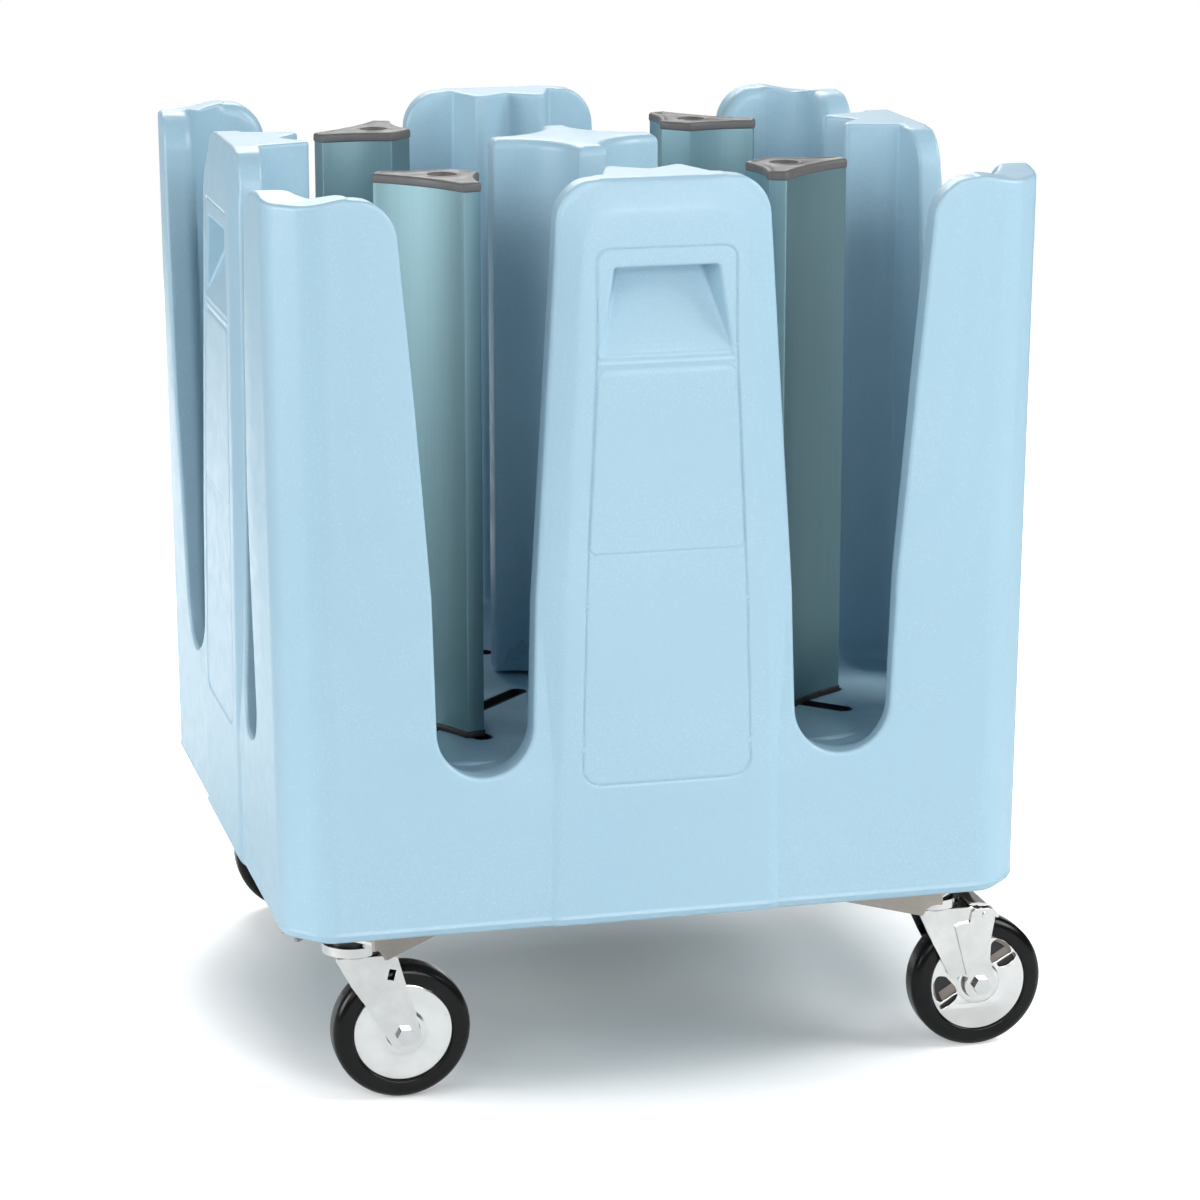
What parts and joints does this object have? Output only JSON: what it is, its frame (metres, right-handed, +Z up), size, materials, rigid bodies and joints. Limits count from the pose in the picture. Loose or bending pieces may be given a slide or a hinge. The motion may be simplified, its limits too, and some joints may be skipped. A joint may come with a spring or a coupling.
{
  "type": "dish dolly",
  "caption": "Square open-topped moulded dish dolly with corner and handle towers, lift-out dividers round a centre column, and swivel casters with brakes.",
  "frame": {"origin": "on the floor, under the middle of the footprint with all four wheels trailing towards +X", "axes": "+Z up, +Y from the front face to the rear face, +X to the right seen from the front"},
  "size_m": [0.7325, 0.6998, 0.841],
  "materials": {
    "body_polyethylene": "pale blue rotationally moulded polyethylene, faint light speckle",
    "black_plastic": "black moulded plastic",
    "divider_aluminium": "satin anodised extrusion, grey-blue",
    "cap_plastic": "taupe moulded plastic",
    "frame_steel": "warm grey bare steel channel",
    "zinc_fasteners": "bright zinc plating",
    "brass_inserts": "plain brass",
    "caster_steel": "bright plated pressed steel",
    "race_black": "black oxide, greased",
    "sleeve_steel": "ground steel tube",
    "core_plastic": "taupe moulded wheel centre",
    "disc_steel": "bright plated thread-guard disc",
    "tyre_rubber": "glossy black rubber"
  },
  "bodies": {
    "base": {"body_shell": "body_polyethylene", "centre_column": "body_polyethylene", "floor_groove_liners": "black_plastic", "frame_channel_long": "frame_steel", "frame_channel_short_pair": "frame_steel", "frame_joint_plate": "frame_steel", "frame_bolts": "zinc_fasteners", "threaded_inserts": "brass_inserts", "column_bolt": "zinc_fasteners", "caster_plate_front_left": "caster_steel", "caster_plate_front_right": "caster_steel", "caster_plate_rear_left": "caster_steel", "caster_plate_rear_right": "caster_steel", "caster_plate_bolts": "zinc_fasteners", "caster_plate_nuts": "zinc_fasteners", "swivel_races": "race_black", "kingpins": "zinc_fasteners"},
    "divider_front_left": {"divider_post_front_left": "divider_aluminium", "divider_cap_front_left": "cap_plastic", "divider_foot_front_left": "black_plastic"},
    "fork_front_left_body": {"fork_front_left": "caster_steel", "axle_bolt_front_left": "zinc_fasteners", "axle_sleeve_front_left": "sleeve_steel"},
    "wheel_front_left": {"wheel_core_front_left": "core_plastic", "wheel_discs_front_left": "disc_steel", "tyre_front_left": "tyre_rubber"},
    "divider_front_right": {"divider_post_front_right": "divider_aluminium", "divider_cap_front_right": "cap_plastic", "divider_foot_front_right": "black_plastic"},
    "fork_front_right_body": {"fork_front_right": "caster_steel", "axle_bolt_front_right": "zinc_fasteners", "axle_sleeve_front_right": "sleeve_steel", "brake_bracket_front_right": "caster_steel"},
    "wheel_front_right": {"wheel_core_front_right": "core_plastic", "wheel_discs_front_right": "disc_steel", "tyre_front_right": "tyre_rubber"},
    "pedal_front_right": {"brake_pedal_front_right": "caster_steel"},
    "divider_rear_left": {"divider_post_rear_left": "divider_aluminium", "divider_cap_rear_left": "cap_plastic", "divider_foot_rear_left": "black_plastic"},
    "fork_rear_left_body": {"fork_rear_left": "caster_steel", "axle_bolt_rear_left": "zinc_fasteners", "axle_sleeve_rear_left": "sleeve_steel"},
    "wheel_rear_left": {"wheel_core_rear_left": "core_plastic", "wheel_discs_rear_left": "disc_steel", "tyre_rear_left": "tyre_rubber"},
    "divider_rear_right": {"divider_post_rear_right": "divider_aluminium", "divider_cap_rear_right": "cap_plastic", "divider_foot_rear_right": "black_plastic"},
    "fork_rear_right_body": {"fork_rear_right": "caster_steel", "axle_bolt_rear_right": "zinc_fasteners", "axle_sleeve_rear_right": "sleeve_steel", "brake_bracket_rear_right": "caster_steel"},
    "wheel_rear_right": {"wheel_core_rear_right": "core_plastic", "wheel_discs_rear_right": "disc_steel", "tyre_rear_right": "tyre_rubber"},
    "pedal_rear_right": {"brake_pedal_rear_right": "caster_steel"}
  },
  "joints": [
    {"name": "divider_lift_front_left", "type": "slide", "parent": "base", "child": "divider_front_left", "axis": [0, 0, 1], "range_m": [0, 0.54]},
    {"name": "caster_swivel_front_left", "type": "hinge", "parent": "base", "child": "fork_front_left_body", "pos_m": [-0.29125, -0.275, 0.15], "axis": [0, 0, 1], "continuous": true},
    {"name": "wheel_spin_front_left", "type": "hinge", "parent": "fork_front_left_body", "child": "wheel_front_left", "pos_m": [-0.24725, -0.275, 0.0635], "axis": [0, 1, 0], "continuous": true},
    {"name": "divider_lift_front_right", "type": "slide", "parent": "base", "child": "divider_front_right", "axis": [0, 0, 1], "range_m": [0, 0.54]},
    {"name": "caster_swivel_front_right", "type": "hinge", "parent": "base", "child": "fork_front_right_body", "pos_m": [0.25875, -0.275, 0.15], "axis": [0, 0, 1], "continuous": true},
    {"name": "wheel_spin_front_right", "type": "hinge", "parent": "fork_front_right_body", "child": "wheel_front_right", "pos_m": [0.30275, -0.275, 0.0635], "axis": [0, 1, 0], "continuous": true},
    {"name": "brake_press_front_right", "type": "hinge", "parent": "fork_front_right_body", "child": "pedal_front_right", "pos_m": [0.30475, -0.275, 0.1334], "axis": [0, 1, 0], "range_deg": [0, 7]},
    {"name": "divider_lift_rear_left", "type": "slide", "parent": "base", "child": "divider_rear_left", "axis": [0, 0, 1], "range_m": [0, 0.54]},
    {"name": "caster_swivel_rear_left", "type": "hinge", "parent": "base", "child": "fork_rear_left_body", "pos_m": [-0.29125, 0.275, 0.15], "axis": [0, 0, 1], "continuous": true},
    {"name": "wheel_spin_rear_left", "type": "hinge", "parent": "fork_rear_left_body", "child": "wheel_rear_left", "pos_m": [-0.24725, 0.275, 0.0635], "axis": [0, 1, 0], "continuous": true},
    {"name": "divider_lift_rear_right", "type": "slide", "parent": "base", "child": "divider_rear_right", "axis": [0, 0, 1], "range_m": [0, 0.54]},
    {"name": "caster_swivel_rear_right", "type": "hinge", "parent": "base", "child": "fork_rear_right_body", "pos_m": [0.25875, 0.275, 0.15], "axis": [0, 0, 1], "continuous": true},
    {"name": "wheel_spin_rear_right", "type": "hinge", "parent": "fork_rear_right_body", "child": "wheel_rear_right", "pos_m": [0.30275, 0.275, 0.0635], "axis": [0, 1, 0], "continuous": true},
    {"name": "brake_press_rear_right", "type": "hinge", "parent": "fork_rear_right_body", "child": "pedal_rear_right", "pos_m": [0.30475, 0.275, 0.1334], "axis": [0, 1, 0], "range_deg": [0, 7]}
  ]
}
